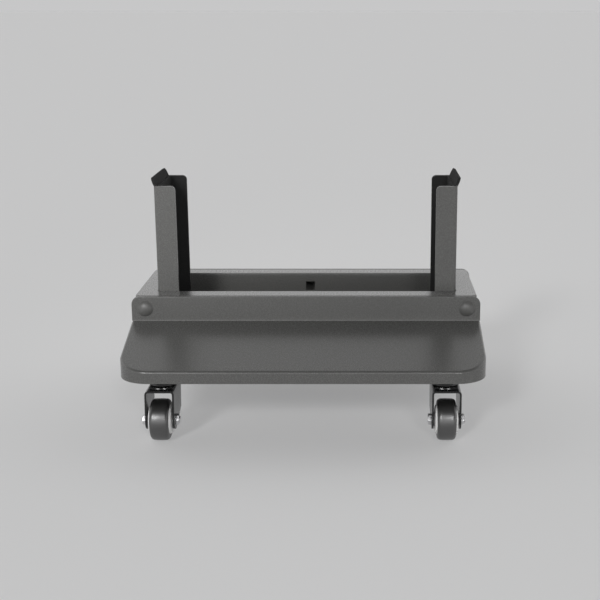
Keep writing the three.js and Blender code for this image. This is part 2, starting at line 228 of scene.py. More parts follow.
TURNS = {
    "X": Matrix.Rotation(math.radians(90), 4, "Y"),
    "Y": Matrix.Rotation(math.radians(-90), 4, "X"),
    "Z": Matrix.Identity(4),
}
AXES = {"X": Vector((1, 0, 0)), "Y": Vector((0, 1, 0)), "Z": Vector((0, 0, 1))}


def at(axis, u, v, along):
    """A point from its two places in a plane square to an axis, and its place along the axis."""
    return Vector({"X": (along, u, v), "Y": (u, along, v), "Z": (u, v, along)}[axis])


def middle(node):
    """The middle of a CAD node's box."""
    low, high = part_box(node)
    return (low + high) / 2


def near(place, level):
    """True where two places count as one."""
    return abs(place - level) < NEAR


def bevel(bm, geom, radius, segments, affect="EDGES"):
    """Round edges, or the corners of a sheet."""
    bmesh.ops.bevel(bm, geom=geom, offset=radius, offset_type="OFFSET", segments=segments, profile=0.5,
                    affect=affect, material=-1, clamp_overlap=True)


def sharp_edges(bm, degrees=45):
    """Edges where two faces meet at more than an angle."""
    limit = math.radians(degrees)
    return [edge for edge in bm.edges if edge.is_manifold and edge.calc_face_angle(0) > limit]


def edges_where(edges, test):
    """The edges that have both ends at places that pass a test."""
    return [edge for edge in edges if all(test(vert.co) for vert in edge.verts)]


def edges_at(bm, x, z):
    """The edges along Y at a place in X and Z."""
    return edges_where(bm.edges, lambda co: near(co.x, x) and near(co.z, z))


def soften(bm, radius, segments=2, degrees=45):
    """Round every edge that is still sharp."""
    bevel(bm, sharp_edges(bm, degrees), radius, segments)


def round_corners(bm, verts, radius):
    """Round corners of a sheet one after the other."""
    for vert in verts:
        bevel(bm, [vert], radius, 8, affect="VERTICES")


def fill(bm, axis):
    """Fill a flat outline, and leave the rings in it open."""
    bmesh.ops.triangle_fill(bm, use_beauty=True, use_dissolve=False, edges=bm.edges[:], normal=AXES[axis])


def blank(axis, along, corners, radii, holes=(), steps=8, hole_steps=24):
    """A flat sheet blank square to an axis, with a radius for each corner and round holes (u, v, radius)."""
    bm = bmesh.new()
    verts = [bm.verts.new(at(axis, u, v, along)) for u, v in corners]
    bm.faces.new(verts)
    for vert, radius in zip(verts, radii):
        if radius > 0:
            bevel(bm, [vert], radius, steps, affect="VERTICES")
    if holes:
        bmesh.ops.delete(bm, geom=bm.faces[:], context="FACES_ONLY")
        for u, v, radius in holes:
            place = Matrix.Translation(at(axis, u, v, along)) @ TURNS[axis]
            bmesh.ops.create_circle(bm, cap_ends=False, radius=radius, segments=hole_steps, matrix=place)
        fill(bm, axis)
    return bm


def rectangle(low, high):
    """The four corners of a rectangle, from its low and high corner."""
    return [(low[0], low[1]), (high[0], low[1]), (high[0], high[1]), (low[0], high[1])]


def everything(bm):
    """All corners, edges and faces."""
    return bm.verts[:] + bm.edges[:] + bm.faces[:]


def move_made(bm, made, offset):
    """Move the corners that an extrusion made."""
    verts = [item for item in made["geom"] if isinstance(item, bmesh.types.BMVert)]
    bmesh.ops.translate(bm, verts=verts, vec=offset)
    return verts


def extrude(bm, offset):
    """Push every face of a flat blank along an offset, which makes a closed solid of it."""
    move_made(bm, bmesh.ops.extrude_face_region(bm, geom=bm.faces[:]), offset)
    bmesh.ops.recalc_face_normals(bm, faces=bm.faces[:])


def sweep(bm, edges, offset):
    """Pull edges along an offset into a sheet, and give its far corners."""
    return move_made(bm, bmesh.ops.extrude_edge_only(bm, edges=edges), offset)


def turn_outwards(bm, face, way):
    """Turn a sheet's faces so that one of them looks a given way."""
    bmesh.ops.recalc_face_normals(bm, faces=bm.faces[:])
    if face.normal.dot(way) < 0:
        bmesh.ops.reverse_faces(bm, faces=bm.faces[:])


def touching(centre, radius, point, side):
    """The angle at which a line from a point touches a circle, on one side of it."""
    reach = point - centre
    return math.atan2(reach.y, reach.x) + side * math.acos(radius / reach.length)


def lathe(profile, axis, centre, steps=32, closed=True):
    """A profile of (radius, place along the axis), turned about an axis through a centre."""
    bm = bmesh.new()
    out = AXES["Y"] if axis == "X" else AXES["X"]
    centre = Vector(centre)
    verts = [bm.verts.new(centre + out * radius + AXES[axis] * along) for radius, along in profile]
    pairs = list(zip(verts, verts[1:]))
    if closed:
        pairs.append((verts[-1], verts[0]))
    edges = [bm.edges.new(pair) for pair in pairs]
    bmesh.ops.spin(bm, geom=verts + edges, cent=centre, axis=AXES[axis], dvec=(0, 0, 0),
                   angle=2 * math.pi, steps=steps, use_merge=True, use_duplicate=False)
    bmesh.ops.remove_doubles(bm, verts=bm.verts[:], dist=1e-6)
    bmesh.ops.recalc_face_normals(bm, faces=bm.faces[:])
    return bm


def flat_faces(bm, level, up=1):
    """The flat faces at a height that look up, or down for -1."""
    return [face for face in bm.faces
            if up * face.normal.z > 0.99 and abs(face.calc_center_median().z - level) < 0.1 * MM]


def cut_window(bm, level, half_x, half_y):
    """Cut a rectangle about the middle out of the flat top of a skin."""
    for axis, half in (("X", half_x), ("Y", half_y)):
        for side in (-1, 1):
            top = flat_faces(bm, level)
            geom = top + list(dict.fromkeys(edge for face in top for edge in face.edges))
            geom += dict.fromkeys(vert for face in top for vert in face.verts)
            bmesh.ops.bisect_plane(bm, geom=geom, plane_co=AXES[axis] * side * half, plane_no=AXES[axis])
    inside = [face for face in flat_faces(bm, level)
              if abs(face.calc_center_median().x) < half_x and abs(face.calc_center_median().y) < half_y]
    bmesh.ops.delete(bm, geom=inside, context="FACES")


def drop_bottom(bm, level):
    """Open a solid at its flat bottom."""
    bmesh.ops.delete(bm, geom=flat_faces(bm, level, -1), context="FACES")


def cut_away(bm, point, normal):
    """Cut off what lies beyond a plane, and close the cut."""
    bmesh.ops.bisect_plane(bm, geom=everything(bm), plane_co=point, plane_no=normal, clear_outer=True)
    bmesh.ops.holes_fill(bm, edges=[edge for edge in bm.edges if edge.is_boundary], sides=0)


def thicken(bm, sheet):
    """Give an open skin its thickness on the inside."""
    bmesh.ops.solidify(bm, geom=bm.faces[:], thickness=sheet)


def merged(parts):
    """One bmesh that holds several."""
    whole = bmesh.new()
    for part in parts:
        mesh = bpy.data.meshes.new("part")
        part.to_mesh(mesh)
        part.free()
        whole.from_mesh(mesh)
        bpy.data.meshes.remove(mesh)
    return whole


def cad_copy(node):
    """A merged copy of a CAD node, with its flat faces whole again."""
    bm = bmesh.new()
    bm.from_mesh(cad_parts[node].data)
    bmesh.ops.remove_doubles(bm, verts=bm.verts[:], dist=1e-6)
    bmesh.ops.dissolve_limit(bm, angle_limit=math.radians(1), verts=bm.verts[:], edges=bm.edges[:])
    return bm


def add_object(name, data):
    """A new object in the scene."""
    made = bpy.data.objects.new(name, data)
    bpy.context.scene.collection.objects.link(made)
    return made


def add_piece(bm, name, look, replaced=(), body="base"):
    """A finished piece that rides on a body and stands for CAD nodes."""
    mesh = bpy.data.meshes.new(name)
    bm.to_mesh(mesh)
    bm.free()
    mesh.materials.append(finish(look))
    mesh.shade_smooth()
    mesh.set_sharp_from_angle(angle=SMOOTH_ANGLE)
    piece = add_object(name, mesh)
    normals = piece.modifiers.new("normals", "WEIGHTED_NORMAL")
    normals.keep_sharp = True
    if replaced:
        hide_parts(*replaced)
    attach(piece, body)
    return piece


# Finishes

def add_node(tree, kind, inputs=None, **settings):
    """A shader node, with its sockets set to values or linked to other sockets."""
    made = tree.nodes.new(kind)
    for key, value in settings.items():
        setattr(made, key, value)
    for key, value in (inputs or {}).items():
        if isinstance(value, bpy.types.NodeSocket):
            tree.links.new(value, made.inputs[key])
        else:
            made.inputs[key].default_value = value
    return made


def speckle(tree, scale, detail=2.0, kind="ShaderNodeTexNoise"):
    """A pattern fixed to the piece, in cells per metre."""
    place = add_node(tree, "ShaderNodeTexCoord").outputs["Object"]
    inputs = {"Vector": place, "Scale": scale}
    if kind == "ShaderNodeTexNoise":
        inputs["Detail"] = detail
        return add_node(tree, kind, inputs).outputs["Fac"]
    return add_node(tree, kind, inputs).outputs["Distance"]


def spread(tree, value, low, high):
    """A 0 to 1 pattern laid out between two values."""
    laid = add_node(tree, "ShaderNodeMapRange", {"Value": value, "To Min": low, "To Max": high})
    return laid.outputs["Result"]


def worked_out(tree, operation, first, second):
    """The result of a sum on two values."""
    return add_node(tree, "ShaderNodeMath", {0: first, 1: second}, operation=operation).outputs[0]


def scaled(tree, tint, level):
    """A colour times a level."""
    made = add_node(tree, "ShaderNodeVectorMath", {0: tint, 3: level}, operation="SCALE")
    return made.outputs["Vector"]


def tinted(tree, tint, pattern, swing):
    """A colour that a pattern makes a little darker and lighter."""
    return scaled(tree, tuple(tint), spread(tree, pattern, 1.0 - swing, 1.0 + swing))


def worn(tree, tint, pattern):
    """A colour that is rubbed a little paler along outer edges, here and there."""
    edge = add_node(tree, "ShaderNodeNewGeometry").outputs["Pointiness"]
    rubbed = add_node(tree, "ShaderNodeMapRange", {"Value": edge, "From Min": 0.53, "From Max": 0.62})
    amount = worked_out(tree, "MULTIPLY", rubbed.outputs["Result"], pattern)
    return scaled(tree, tint, spread(tree, amount, 1.0, 1.35))


def bumped(tree, pattern, strength, height):
    """The surface's direction over a pattern's small bumps."""
    made = add_node(tree, "ShaderNodeBump", {"Height": pattern, "Strength": strength, "Distance": height})
    return made.outputs["Normal"]


def bare_tree(owner):
    """The empty node tree of a material or a world."""
    owner.use_nodes = True
    owner.node_tree.nodes.clear()
    return owner.node_tree


def finish(look):
    """The material of a look, made once, with the coat's colour where its nodes don't show."""
    finishes = bpy.context.scene.stand_finishes
    name = look.__name__
    found = bpy.data.materials.get(name)
    if found:
        return found
    material = bpy.data.materials.new(name)
    material.diffuse_color = (*finishes.coat, 1.0)
    tree = bare_tree(material)
    shader = add_node(tree, "ShaderNodeBsdfPrincipled", look(tree, finishes))
    add_node(tree, "ShaderNodeOutputMaterial", {"Surface": shader.outputs["BSDF"]})
    return material


def coat(tree, finishes, roughness):
    """A grainy dark grey skin with a soft sheen."""
    broad = speckle(tree, 14.0)
    grain = speckle(tree, 1400.0, 3.0)
    return {
        "Base Color": worn(tree, tinted(tree, finishes.coat, broad, 0.05), broad),
        "Roughness": spread(tree, grain, roughness - 0.05, roughness + 0.07),
        "IOR": 1.65,
        "Normal": bumped(tree, grain, 0.12, 0.08 * MM),
    }


def powder_coat(tree, finishes):
    """Fine-textured powder coat of the folded sheets."""
    return coat(tree, finishes, finishes.coat_roughness)


def bolt_coat(tree, finishes):
    """The duller coat of the dome-head bolts."""
    return coat(tree, finishes, finishes.bolt_roughness)


def foam_skin(tree, finishes):
    """Matt closed-cell foam."""
    cells = speckle(tree, 1600.0, kind="ShaderNodeTexVoronoi")
    return {
        "Base Color": tinted(tree, finishes.foam, cells, 0.35),
        "Roughness": 0.95,
        "Specular IOR Level": 0.15,
        "Normal": bumped(tree, cells, 0.5, 0.2 * MM),
    }


def rubber_mat(tree, finishes):
    """Dull ribless rubber."""
    cells = speckle(tree, 700.0, kind="ShaderNodeTexVoronoi")
    return {
        "Base Color": tinted(tree, finishes.mat, cells, 0.2),
        "Roughness": 0.85,
        "Specular IOR Level": 0.25,
        "Normal": bumped(tree, cells, 0.4, 0.2 * MM),
    }


def gloss_black(tree, finishes):
    """Glossy black coat of pressed steel, with the faint waviness of the pressing."""
    waves = speckle(tree, 220.0)
    smears = speckle(tree, 60.0, 4.0)
    return {
        "Base Color": tinted(tree, finishes.black_steel, smears, 0.2),
        "Roughness": spread(tree, smears, 0.14, 0.26),
        "IOR": 1.5,
        "Normal": bumped(tree, waves, 0.10, 0.15 * MM),
    }


def zinc_plate(tree, finishes):
    """Bright zinc plate, a little clouded."""
    clouds = speckle(tree, 500.0, 4.0)
    return {
        "Base Color": tinted(tree, finishes.zinc, clouds, 0.08),
        "Metallic": 1.0,
        "Roughness": spread(tree, clouds, 0.22, 0.36),
        "Normal": bumped(tree, clouds, 0.08, 0.05 * MM),
    }


def tyre_rubber(tree, finishes):
    """Smooth rubber with a soft gloss, scuffed where it rolls."""
    scuffs = speckle(tree, 260.0, 5.0)
    return {
        "Base Color": tinted(tree, finishes.tyre, speckle(tree, 70.0), 0.15),
        "Roughness": spread(tree, scuffs, 0.28, 0.42),
        "IOR": 2.2,
        "Normal": bumped(tree, scuffs, 0.10, 0.10 * MM),
    }


def white_plastic(tree, finishes):
    """White moulded plastic."""
    flow = speckle(tree, 120.0, 3.0)
    return {
        "Base Color": tinted(tree, finishes.hub, flow, 0.02),
        "Roughness": spread(tree, flow, 0.34, 0.46),
        "Normal": bumped(tree, flow, 0.05, 0.05 * MM),
    }


# Base

class STAND_OT_base_shell(Operator):
    """Fold the base shell, with aprons that slope to the front and the rear, and ease the pan"""

    bl_idname = "stand.base_shell"
    bl_label = "Base"

    def execute(self, context):
        sizes = context.scene.stand_base
        low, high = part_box("base_shell")
        deck_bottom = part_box("deck_frame")[0].z
        deck_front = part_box("front_bar")[0].y - sizes.ledge
        bm = blank("Z", low.z, rectangle(low, high), [sizes.plan_radius] * 4, steps=14)
        extrude(bm, (0, 0, deck_bottom - low.z))
        rim_top = low.z + sizes.rim_height
        rise = deck_bottom - rim_top
        run = high.y + deck_front
        for side in (-1, 1):
            cut_away(bm, (0, side * high.y, rim_top), Vector((0, side * rise, run)).normalized())
        bmesh.ops.recalc_face_normals(bm, faces=bm.faces[:])
        folds = [edge for edge in sharp_edges(bm, 8) if any(face.normal.z > 0.5 for face in edge.link_faces)]
        bevel(bm, folds, sizes.fold_radius, 4)
        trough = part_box("panel_trough")[1]
        cut_window(bm, deck_bottom, trough.x + FIT, trough.y + FIT)
        drop_bottom(bm, low.z)
        thicken(bm, sizes.sheet)
        soften(bm, sizes.edge_radius)
        add_piece(bm, "folded_base_shell", powder_coat, ["base_shell"])
        bm = cad_copy("floor_pan")
        soften(bm, sizes.edge_radius)
        add_piece(bm, "eased_floor_pan", powder_coat, ["floor_pan"])
        return {"FINISHED"}


class STAND_OT_deck_frame(Operator):
    """Fold the deck, a shallow box with the panel's slot in its top, and ease the trough and its mat"""

    bl_idname = "stand.deck_frame"
    bl_label = "Deck and trough"

    def execute(self, context):
        sizes = context.scene.stand_base
        low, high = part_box("deck_frame")
        bm = blank("Z", low.z, rectangle(low, high), [sizes.deck_radius] * 4)
        extrude(bm, (0, 0, high.z - low.z))
        top = [edge for edge in sharp_edges(bm, 30) if any(face.normal.z > 0.9 for face in edge.link_faces)]
        bevel(bm, top, sizes.deck_fold_radius, 4)
        slot_x, slot_y = sizes.slot_width / 2, sizes.slot_depth / 2
        cut_window(bm, high.z, slot_x, slot_y)
        drop_bottom(bm, low.z)
        thicken(bm, sizes.sheet)
        rear = [vert for vert in bm.verts
                if near(vert.co.y, slot_y) and near(vert.co.z, high.z) and abs(vert.co.x) < slot_x + NEAR]
        bmesh.ops.translate(bm, verts=rear, vec=(0, sizes.slot_lean, 0))
        rims = edges_where(sharp_edges(bm), lambda co: near(co.z, low.z) or (
            abs(co.x) < slot_x + SLOT_MARGIN and abs(co.y) < slot_y + SLOT_MARGIN))
        bevel(bm, rims, sizes.edge_radius, 3)
        add_piece(bm, "folded_deck", powder_coat, ["deck_frame"])
        bm = cad_copy("panel_trough")
        soften(bm, sizes.edge_radius)
        add_piece(bm, "eased_trough", powder_coat, ["panel_trough"])
        bm = cad_copy("trough_mat")
        soften(bm, 2 * sizes.edge_radius, 3)
        add_piece(bm, "eased_trough_mat", rubber_mat, ["trough_mat"])
        return {"FINISHED"}


class STAND_OT_bars(Operator):
    """Cut the bars across the front and the rear of the deck, and turn their dome-head bolts"""

    bl_idname = "stand.bars"
    bl_label = "Bars and bolts"

    def execute(self, context):
        sizes = context.scene.stand_base
        for end, facing in ENDS.items():
            low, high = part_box(f"{end}_bar")
            bolts = [middle(f"bar_bolt_{end}_{side}") for side in SIDES]
            holes = [(bolt.x, bolt.z, sizes.bolt_hole) for bolt in bolts]
            corners = rectangle((low.x, low.z), (high.x, high.z))
            bm = blank("Y", low.y, corners, [0, 0, sizes.bar_radius, sizes.bar_radius], holes)
            extrude(bm, (0, high.y - low.y, 0))
            bmesh.ops.bisect_plane(bm, geom=everything(bm), plane_co=(0, 0, low.z + sizes.bar_foot),
                                   plane_no=AXES["Z"])
            face = high.y if facing > 0 else low.y
            foot = [vert for vert in bm.verts if near(vert.co.z, low.z) and near(vert.co.y, face)]
            bmesh.ops.translate(bm, verts=foot, vec=(0, facing * sizes.bar_flare, 0))
            edges = [edge for edge in sharp_edges(bm) if any(v.co.z > low.z + NEAR for v in edge.verts)]
            bevel(bm, edges, 2 * sizes.edge_radius, 3)
            add_piece(bm, f"cut_{end}_bar", powder_coat, [f"{end}_bar"])
        ball = (sizes.dome_radius ** 2 + sizes.dome_height ** 2) / (2 * sizes.dome_height)
        for end, facing in ENDS.items():
            for side in SIDES:
                node = f"bar_bolt_{end}_{side}"
                low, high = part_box(node)
                seat = (low.y + sizes.dome_height) if facing < 0 else (high.y - sizes.dome_height)
                centre = middle(node)
                centre.y = seat - facing * (ball - sizes.dome_height)
                head = bmesh.new()
                bmesh.ops.create_uvsphere(head, u_segments=32, v_segments=40, radius=ball,
                                          matrix=Matrix.Translation(centre) @ TURNS["Y"])
                cut_away(head, (0, seat, 0), (0, -facing, 0))
                soften(head, DOME_EDGE, degrees=40)
                tip = high.y if facing < 0 else low.y
                radius = sizes.bolt_hole - FIT
                shank = lathe([(0, seat), (radius, seat), (radius, tip), (0, tip)], "Y",
                              (centre.x, 0, centre.z), 20, closed=False)
                soften(shank, SHANK_TIP)
                add_piece(merged([head, shank]), f"turned_{node}", bolt_coat, [node])
        return {"FINISHED"}


# Uprights

def sleeve_rise(sizes):
    """Height of the sleeve's outer face, with its top inner edge about level with the solid's top."""
    slant = math.hypot(sizes.lip_flare, sizes.lip_height)
    return sizes.lip_height - (sizes.sleeve_back + sizes.sheet + sizes.sleeve) * sizes.lip_flare / slant


class STAND_OT_uprights(Operator):
    """Fold the channel uprights, with a flared lip on top of each web"""

    bl_idname = "stand.uprights"
    bl_label = "Uprights"

    def execute(self, context):
        sizes = context.scene.stand_uprights
        for side, facing in SIDES.items():
            low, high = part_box(f"upright_{side}")
            top = high.z - sizes.lip_height
            outer, free = (high.x, low.x) if facing > 0 else (low.x, high.x)
            outer -= facing * sizes.lip_flare
            bm = bmesh.new()
            corners = [(free, low.y), (outer, low.y), (outer, high.y), (free, high.y)]
            foot = [bm.verts.new((x, y, low.z)) for x, y in corners]
            sweep(bm, [bm.edges.new(pair) for pair in zip(foot, foot[1:])], (0, 0, top - low.z))
            bevel(bm, [edge for edge in bm.edges if len(edge.link_faces) == 2], sizes.bend_radius, 6)
            free_tops = [vert for vert in bm.verts if near(vert.co.x, free) and near(vert.co.z, top)]
            round_corners(bm, free_tops, sizes.flange_radius)
            rise = sleeve_rise(sizes) - sizes.sleeve_edge
            lip_tops = sweep(bm, edges_at(bm, outer, top), (facing * sizes.lip_flare, 0, rise))
            round_corners(bm, lip_tops, sizes.lip_radius)
            bevel(bm, edges_at(bm, outer, top), LIP_BEND, 3)
            web = max(bm.faces, key=lambda face: face.calc_area())
            turn_outwards(bm, web, Vector((facing, 0, 0)))
            thicken(bm, sizes.sheet)
            soften(bm, context.scene.stand_base.edge_radius)
            add_piece(bm, f"folded_upright_{side}", powder_coat, [f"upright_{side}"])
        return {"FINISHED"}


class STAND_OT_foam(Operator):
    """Cut the foam lining of the uprights, and pull a thin foam sleeve over each flared lip"""

    bl_idname = "stand.foam"
    bl_label = "Foam"

    def execute(self, context):
        sizes = context.scene.stand_uprights
        for side, facing in SIDES.items():
            low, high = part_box(f"liner_{side}")
            outer, free = (high.x, low.x) if facing > 0 else (low.x, high.x)
            inner = outer - facing * sizes.liner
            front, rear = low.y + sizes.liner, high.y - sizes.liner
            corners = [(outer, low.y), (outer, high.y), (free, high.y), (free, rear),
                       (inner, rear), (inner, front), (free, front), (free, low.y)]
            bm = blank("Z", low.z, corners, [0, 0, 0, 0, LINER_BEND, LINER_BEND, 0, 0], steps=3)
            extrude(bm, (0, 0, high.z - low.z))
            bevel(bm, edges_at(bm, free, high.z), sizes.flange_radius, 8)
            soften(bm, LINER_EDGE)
            liner = add_piece(bm, f"foam_liner_{side}", foam_skin, [f"liner_{side}"])
        for side, facing in SIDES.items():
            low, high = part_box(f"upright_{side}")
            outer = (high.x if facing > 0 else low.x) - facing * sizes.lip_flare
            foot = high.z - sizes.lip_height
            rise = sleeve_rise(sizes)
            half = high.y - sizes.bend_radius + sizes.sleeve_edge
            slant = math.hypot(sizes.lip_flare, rise)
            back = Vector((facing * rise, 0, -sizes.lip_flare)) * (sizes.sleeve_back / slant)
            down = Vector((facing * sizes.lip_flare, 0, rise)) * (sizes.sleeve_foot / slant)
            bottom = Vector((outer, -half, foot)) + back - down
            top = Vector((outer + facing * sizes.lip_flare, -half, foot + rise)) + back
            bm = bmesh.new()
            edge = bm.edges.new([bm.verts.new(bottom), bm.verts.new(top)])
            sweep(bm, [edge], (0, 2 * half, 0))
            tops = [vert for vert in bm.verts if vert.co.z > foot + rise / 2]
            round_corners(bm, tops, sizes.lip_radius + sizes.sleeve_edge)
            turn_outwards(bm, bm.faces[:][0], Vector((facing, 0, 0)))
            thicken(bm, sizes.sleeve_back + sizes.sheet + sizes.sleeve)
            soften(bm, sizes.sleeve, 3)
            sleeve = add_piece(bm, f"lip_sleeve_{side}", foam_skin)
        return {"FINISHED"}


# Casters

class STAND_OT_caster_mounts(Operator):
    """Press the mounting plates with the upper races, and turn the kingpins and the socket screws"""

    bl_idname = "stand.caster_mounts"
    bl_label = "Caster mounts"

    def execute(self, context):
        sizes = context.scene.stand_casters
        for corner in CORNERS:
            low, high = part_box(f"caster_plate_{corner}")
            centre = (low + high) / 2
            bottom = high.z - sizes.plate_depth
            hole = sizes.pin_radius + FIT
            screws = [middle(f"plate_screw_{corner}_{i}") for i in SCREWS]
            holes = [(screw.x, screw.y, sizes.screw_radius + FIT) for screw in screws]
            plate = blank("Z", bottom, rectangle(low, high), [sizes.plate_radius] * 4,
                          [*holes, (centre.x, centre.y, hole)], 6, 20)
            extrude(plate, (0, 0, sizes.plate_depth))
            soften(plate, PLATE_EDGE)
            race = sizes.head_radius
            head = lathe([(hole, low.z), (race, low.z), (race, bottom), (hole, bottom)], "Z",
                         (centre.x, centre.y, 0), 40)
            bevel(head, edges_where(sharp_edges(head), lambda co: near(co.z, low.z)), RACE_EDGE, 4)
            add_piece(merged([plate, head]), f"pressed_caster_plate_{corner}",
                      gloss_black, [f"caster_plate_{corner}"])
        for corner in CORNERS:
            node = f"kingpin_{corner}"
            low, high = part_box(node)
            centre = middle(node)
            head = (high.x - low.x) / 2
            under, over = low.z + sizes.pin_head, high.z - sizes.pin_head
            bm = lathe([(0, low.z), (head, low.z), (head, under), (sizes.pin_radius, under),
                        (sizes.pin_radius, over), (head, over), (head, high.z), (0, high.z)],
                       "Z", (centre.x, centre.y, 0), 32, closed=False)
            soften(bm, PIN_EDGE, 3)
            add_piece(bm, f"turned_{node}", gloss_black, [node])
        for corner in CORNERS:
            for i in SCREWS:
                node = f"plate_screw_{corner}_{i}"
                low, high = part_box(node)
                x, y = middle(node).xy
                radius = (high.x - low.x) / 2
                head = bmesh.new()
                place = Matrix.Translation((x, y, low.z))
                for ring, sides in ((radius, 24), (SOCKET_SHARE * radius, 6)):
                    bmesh.ops.create_circle(head, cap_ends=False, radius=ring, segments=sides, matrix=place)
                fill(head, "Z")
                extrude(head, (0, 0, sizes.screw_head))
                rim = edges_where(sharp_edges(head), lambda co: near(co.z, low.z) and (
                    co.xy - Vector((x, y))).length > 0.9 * radius)
                bevel(head, rim, SCREW_EDGE, 4)
                seat, shaft = low.z + sizes.screw_head, sizes.screw_radius
                shank = lathe([(0, seat), (shaft, seat), (shaft, high.z), (0, high.z)], "Z", (x, y, 0), 16,
                              closed=False)
                add_piece(merged([head, shank]), f"turned_{node}", zinc_plate, [node])
        return {"FINISHED"}


class STAND_OT_forks(Operator):
    """Press the forks, with two legs and the lower race on the crown, and lay the balls in the race"""

    bl_idname = "stand.forks"
    bl_label = "Forks and balls"

    def execute(self, context):
        sizes = context.scene.stand_casters
        for corner in CORNERS:
            node = f"fork_{corner}"
            low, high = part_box(node)
            pin = middle(f"kingpin_{corner}")
            axle = middle(f"axle_nut_{corner}")
            front, back = pin.y - sizes.fork_front, pin.y + sizes.fork_back
            crown = sizes.crown_height
            corners = [(low.x, low.z), (low.x, crown), (high.x, crown), (high.x, low.z)]
            bm = bmesh.new()
            ends = [bm.verts.new((x, low.y, z)) for x, z in corners]
            sweep(bm, [bm.edges.new(pair) for pair in zip(ends, ends[1:])], (0, back - low.y, 0))
            folds = [edge for edge in bm.edges if len(edge.link_faces) == 2]
            bevel(bm, folds, sizes.fork_fold, 6)
            # Each leg runs from the crown to touch the tip's circle round the axle, and back to its heel
            heel = Vector((back - sizes.heel_inset, sizes.heel_height))
            centre = Vector((axle.y, axle.z))
            first = touching(centre, sizes.fork_tip, Vector((front, crown)), 1)
            last = touching(centre, sizes.fork_tip, heel, -1) + 2 * math.pi
            turns = [first + (last - first) * i / TIP_STEPS for i in range(TIP_STEPS + 1)]
            cuts = [(centre + sizes.fork_tip * Vector((math.cos(turn), math.sin(turn))), turn)
                    for turn in turns]
            cuts.append((heel, -math.atan2(sizes.heel_inset, crown - sizes.heel_height)))
            for point, turn in cuts:
                bmesh.ops.bisect_plane(bm, geom=everything(bm), plane_co=(0, point.x, point.y),
                                       plane_no=(0, math.cos(turn), math.sin(turn)), clear_outer=True)
            highest = max(bm.faces, key=lambda face: face.calc_center_median().z)
            turn_outwards(bm, highest, AXES["Z"])
            thicken(bm, sizes.fork_wall)
            soften(bm, FORK_EDGE)
            hole = sizes.pin_radius + FIT
            race_top = crown + sizes.race_height
            cup = lathe([(hole, crown), (sizes.race_foot, crown), (sizes.race_top, race_top),
                         (hole, race_top)], "Z", (pin.x, pin.y, 0), 40)
            soften(cup, CUP_EDGE, 3)
            ring, foot, ridge = sizes.bead_radius, crown - BEAD_SINK, crown + sizes.bead_height
            inner = ring - sizes.bead_width
            bead = lathe([(inner, foot), (ring + sizes.bead_lean, foot), (ring, ridge), (inner, ridge)], "Z",
                         (pin.x, pin.y, 0), 96)
            cut_away(bead, pin, (0, 1, 0))
            for end, facing in ((low.x, -1), (high.x, 1)):
                cut_away(bead, (end - facing * sizes.fork_fold, 0, 0), (facing, 0, 0))
            soften(bead, BEAD_EDGE)
            add_piece(merged([bm, cup, bead]), f"pressed_{node}", gloss_black, [node],
                      f"swivel_{corner}")
        for corner in CORNERS:
            pin = middle(f"kingpin_{corner}")
            low = sizes.crown_height + sizes.race_height
            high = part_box(f"caster_plate_{corner}")[0].z
            ring = sizes.race_top - sizes.ball_radius
            bm = bmesh.new()
            for i in range(sizes.ball_count):
                turn = Matrix.Rotation(2 * math.pi * i / sizes.ball_count, 4, "Z")
                place = Matrix.Translation((pin.x, pin.y, (low + high) / 2)) @ turn
                bmesh.ops.create_uvsphere(bm, u_segments=12, v_segments=8, radius=sizes.ball_radius,
                                          matrix=place @ Matrix.Translation((ring, 0, 0)))
            add_piece(bm, f"race_balls_{corner}", zinc_plate, body=f"swivel_{corner}")
        return {"FINISHED"}


class STAND_OT_axles(Operator):
    """Make the axle bolts, with a hexagon head and a thread end, and their nuts"""

    bl_idname = "stand.axles"
    bl_label = "Axles and nuts"

    def hexagon(self, x, axle, radius, offset, bore):
        """A hexagon prism with chamfered corners, square to X."""
        bm = bmesh.new()
        place = Matrix.Translation((x, axle.y, axle.z)) @ TURNS["X"]
        bmesh.ops.create_circle(bm, cap_ends=not bore, radius=radius, segments=6, matrix=place)
        if bore:
            bmesh.ops.create_circle(bm, cap_ends=False, radius=bore, segments=24, matrix=place)
            fill(bm, "X")
        extrude(bm, (offset, 0, 0))
        tips = [vert for vert in bm.verts
                if near(vert.co.x, x + offset) and (vert.co - axle).yz.length > 0.95 * radius]
        bevel(bm, tips, HEXAGON_TIP, 1, affect="VERTICES")
        soften(bm, HEXAGON_EDGE)
        return bm

    def execute(self, context):
        sizes = context.scene.stand_casters
        for corner in CORNERS:
            bolt_low, bolt_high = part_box(f"axle_bolt_{corner}")
            nut_low, nut_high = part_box(f"axle_nut_{corner}")
            axle = middle(f"axle_nut_{corner}")
            radius = max(nut_high.y - nut_low.y, nut_high.z - nut_low.z) / 2
            seat = bolt_low.x + sizes.axle_head
            head = self.hexagon(seat, axle, radius, -sizes.axle_head, 0)
            thread = []
            for i in range(THREADS):
                along = bolt_high.x - PITCH * (THREADS - i)
                thread += [(sizes.axle_radius, along), (sizes.axle_radius - THREAD_DEPTH, along + PITCH)]
            profile = [(0, seat), (sizes.axle_radius, seat), *thread, (0, bolt_high.x)]
            shank = lathe(profile, "X", (0, axle.y, axle.z), 24, closed=False)
            body = f"swivel_{corner}"
            add_piece(merged([head, shank]), f"forged_axle_bolt_{corner}", zinc_plate,
                      [f"axle_bolt_{corner}"], body)
            nut = self.hexagon(nut_low.x, axle, radius, nut_high.x - nut_low.x, sizes.axle_radius + FIT)
            add_piece(nut, f"forged_axle_nut_{corner}", zinc_plate, [f"axle_nut_{corner}"],
                      body)
        return {"FINISHED"}


